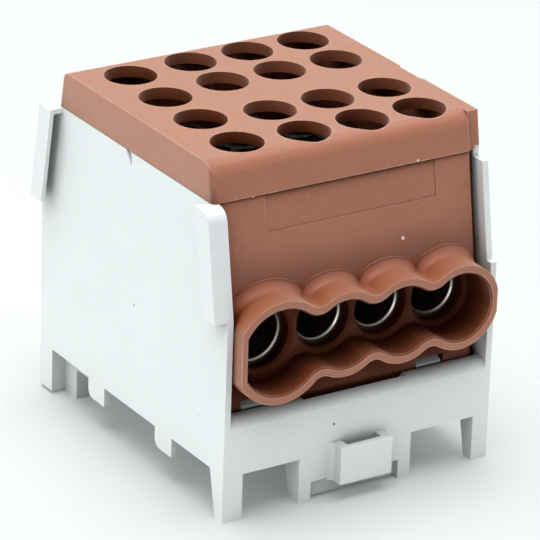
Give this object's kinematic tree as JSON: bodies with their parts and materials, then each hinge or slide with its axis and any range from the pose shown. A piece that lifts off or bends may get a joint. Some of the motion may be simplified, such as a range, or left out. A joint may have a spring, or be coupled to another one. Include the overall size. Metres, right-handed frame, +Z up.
{
  "type": "terminal block",
  "caption": "Rail-mount main-line branch terminal block: pale grey carrier with feet, brown body with scalloped conductor collars, pierced cap over clamp screws in a plated bar.",
  "frame": {"origin": "middle of the underside, on the plane of the feet", "axes": "+Z up, -Y the front with the driver loop, columns run along X with the main column at -X"},
  "size_m": [0.0486, 0.058, 0.0538],
  "materials": {
    "grey_plastic": "moulded satin",
    "brown_plastic": "fine moulded grain",
    "plated_bar": "bright plated",
    "screw_steel": "blackened"
  },
  "bodies": {
    "block": {"carrier": "grey_plastic", "housing": "brown_plastic", "cap": "brown_plastic", "terminal_bar": "plated_bar"},
    "screw_main_front_outer": {"screw_main_front_outer": "screw_steel"},
    "screw_main_front_inner": {"screw_main_front_inner": "screw_steel"},
    "screw_main_back_inner": {"screw_main_back_inner": "screw_steel"},
    "screw_main_back_outer": {"screw_main_back_outer": "screw_steel"},
    "screw_branch_1_front_outer": {"screw_branch_1_front_outer": "screw_steel"},
    "screw_branch_1_front_inner": {"screw_branch_1_front_inner": "screw_steel"},
    "screw_branch_1_back_inner": {"screw_branch_1_back_inner": "screw_steel"},
    "screw_branch_1_back_outer": {"screw_branch_1_back_outer": "screw_steel"},
    "screw_branch_2_front_outer": {"screw_branch_2_front_outer": "screw_steel"},
    "screw_branch_2_front_inner": {"screw_branch_2_front_inner": "screw_steel"},
    "screw_branch_2_back_inner": {"screw_branch_2_back_inner": "screw_steel"},
    "screw_branch_2_back_outer": {"screw_branch_2_back_outer": "screw_steel"},
    "screw_branch_3_front_outer": {"screw_branch_3_front_outer": "screw_steel"},
    "screw_branch_3_front_inner": {"screw_branch_3_front_inner": "screw_steel"},
    "screw_branch_3_back_inner": {"screw_branch_3_back_inner": "screw_steel"},
    "screw_branch_3_back_outer": {"screw_branch_3_back_outer": "screw_steel"}
  },
  "joints": [
    {"name": "main_front_outer_travel", "type": "slide", "parent": "block", "child": "screw_main_front_outer", "axis": [0, 0, 1], "range_m": [-0.0056, 0]},
    {"name": "main_front_inner_travel", "type": "slide", "parent": "block", "child": "screw_main_front_inner", "axis": [0, 0, 1], "range_m": [-0.0056, 0]},
    {"name": "main_back_inner_travel", "type": "slide", "parent": "block", "child": "screw_main_back_inner", "axis": [0, 0, 1], "range_m": [-0.0056, 0]},
    {"name": "main_back_outer_travel", "type": "slide", "parent": "block", "child": "screw_main_back_outer", "axis": [0, 0, 1], "range_m": [-0.0056, 0]},
    {"name": "branch_1_front_outer_travel", "type": "slide", "parent": "block", "child": "screw_branch_1_front_outer", "axis": [0, 0, 1], "range_m": [-0.0056, 0]},
    {"name": "branch_1_front_inner_travel", "type": "slide", "parent": "block", "child": "screw_branch_1_front_inner", "axis": [0, 0, 1], "range_m": [-0.0056, 0]},
    {"name": "branch_1_back_inner_travel", "type": "slide", "parent": "block", "child": "screw_branch_1_back_inner", "axis": [0, 0, 1], "range_m": [-0.0056, 0]},
    {"name": "branch_1_back_outer_travel", "type": "slide", "parent": "block", "child": "screw_branch_1_back_outer", "axis": [0, 0, 1], "range_m": [-0.0056, 0]},
    {"name": "branch_2_front_outer_travel", "type": "slide", "parent": "block", "child": "screw_branch_2_front_outer", "axis": [0, 0, 1], "range_m": [-0.0056, 0]},
    {"name": "branch_2_front_inner_travel", "type": "slide", "parent": "block", "child": "screw_branch_2_front_inner", "axis": [0, 0, 1], "range_m": [-0.0056, 0]},
    {"name": "branch_2_back_inner_travel", "type": "slide", "parent": "block", "child": "screw_branch_2_back_inner", "axis": [0, 0, 1], "range_m": [-0.0056, 0]},
    {"name": "branch_2_back_outer_travel", "type": "slide", "parent": "block", "child": "screw_branch_2_back_outer", "axis": [0, 0, 1], "range_m": [-0.0056, 0]},
    {"name": "branch_3_front_outer_travel", "type": "slide", "parent": "block", "child": "screw_branch_3_front_outer", "axis": [0, 0, 1], "range_m": [-0.0056, 0]},
    {"name": "branch_3_front_inner_travel", "type": "slide", "parent": "block", "child": "screw_branch_3_front_inner", "axis": [0, 0, 1], "range_m": [-0.0056, 0]},
    {"name": "branch_3_back_inner_travel", "type": "slide", "parent": "block", "child": "screw_branch_3_back_inner", "axis": [0, 0, 1], "range_m": [-0.0056, 0]},
    {"name": "branch_3_back_outer_travel", "type": "slide", "parent": "block", "child": "screw_branch_3_back_outer", "axis": [0, 0, 1], "range_m": [-0.0056, 0]}
  ]
}
